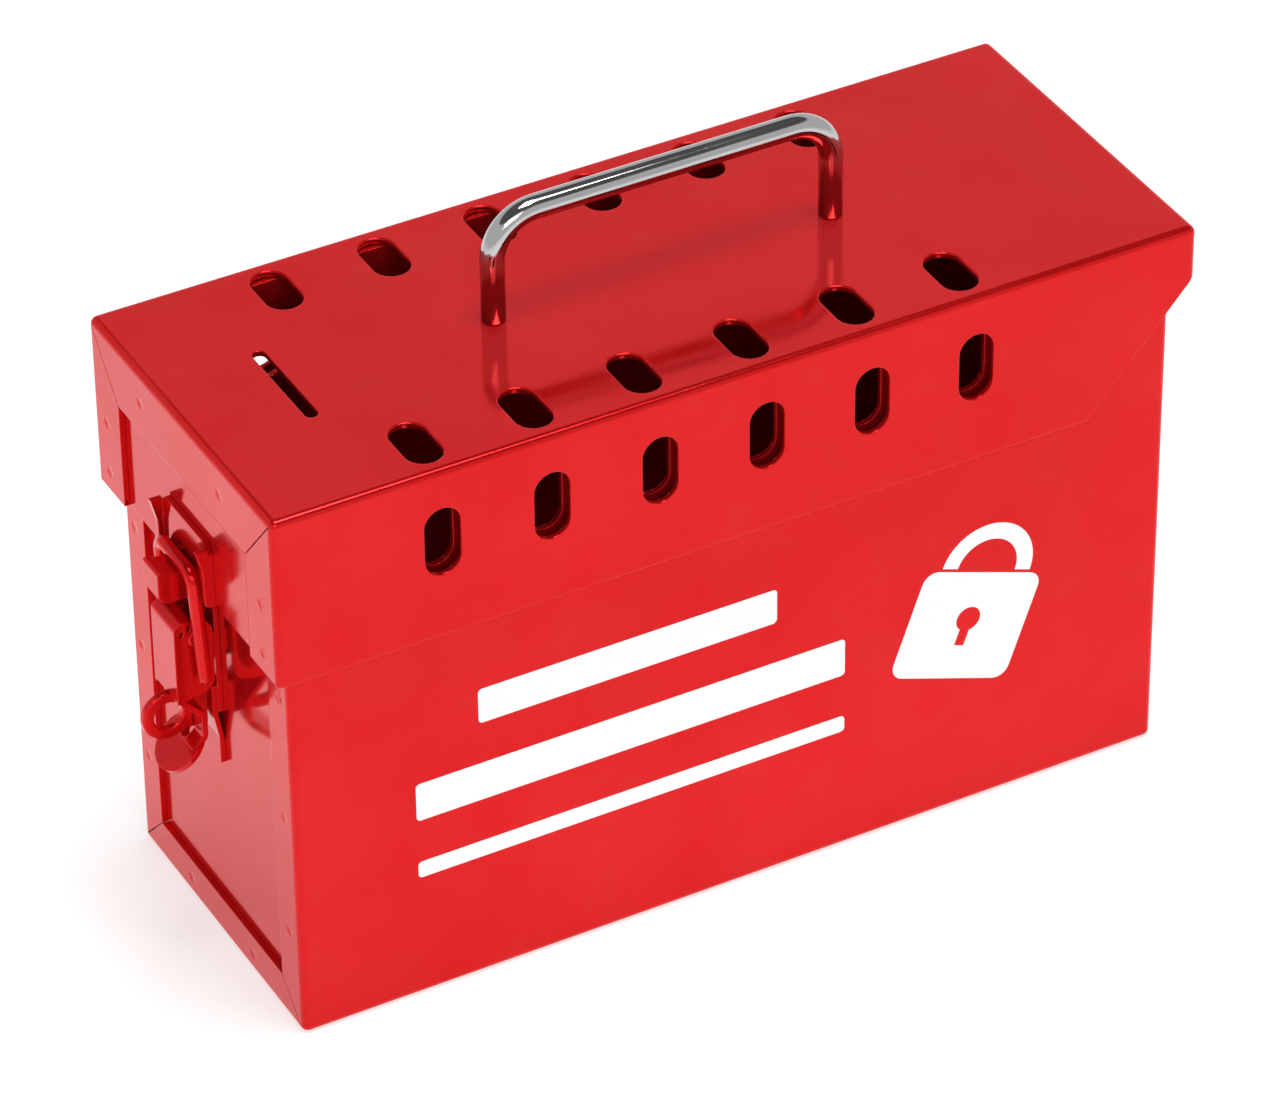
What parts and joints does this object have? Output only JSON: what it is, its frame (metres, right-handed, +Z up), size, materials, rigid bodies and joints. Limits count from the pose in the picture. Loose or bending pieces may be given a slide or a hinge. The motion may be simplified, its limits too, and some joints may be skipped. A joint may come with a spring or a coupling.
{
  "type": "group lock box",
  "caption": "Portable folded-steel group lock box: a hinged lid with padlock slots along its edges and a key slot, a lever latch with its own padlock eye, and a carrying handle.",
  "frame": {"origin": "centre of the body's bottom face", "axes": "+X towards the hinge end, -Y is the front, +Z up"},
  "size_m": [0.2757, 0.102, 0.1955],
  "materials": {
    "red_coat": "glossy powder coat",
    "handle_chrome": "polished plating",
    "plain_steel": "bright zinc",
    "white_print": "white screen print, on the visual model only"
  },
  "bodies": {
    "box_body": {"body_shell": "red_coat", "body_end_left": "red_coat", "body_end_right": "red_coat", "hinge_leaf_body": "red_coat", "hinge_pin": "plain_steel", "hinge_rivets_body": "red_coat", "latch_base": "red_coat", "padlock_eye": "red_coat", "lever_pin": "red_coat"},
    "lid": {"lid_shell": "red_coat", "lid_end_panel": "red_coat", "hinge_leaf_lid": "red_coat", "hinge_rivets_lid": "red_coat", "handle": "handle_chrome", "handle_screw_left": "plain_steel", "handle_screw_right": "plain_steel", "handle_washer_left": "plain_steel", "handle_washer_right": "plain_steel", "keeper": "red_coat"},
    "lever": {"latch_lever": "red_coat"},
    "bail": {"latch_bail": "red_coat"}
  },
  "joints": [
    {"name": "lid_hinge", "type": "hinge", "parent": "box_body", "child": "lid", "pos_m": [0.12625, 0, 0.146], "axis": [0, 1, 0], "range_deg": [0, 130]},
    {"name": "lever_hinge", "type": "hinge", "parent": "box_body", "child": "lever", "pos_m": [-0.1312, 0, 0.1013], "axis": [0, 1, 0], "range_deg": [0, 85]},
    {"name": "bail_hinge", "type": "hinge", "parent": "lever", "child": "bail", "pos_m": [-0.1306, 0, 0.0895], "axis": [0, 1, 0], "range_deg": [-85, 0]}
  ],
  "couplings": [
    {"joint": "bail_hinge", "follows": "lever_hinge", "ratio": -1}
  ]
}
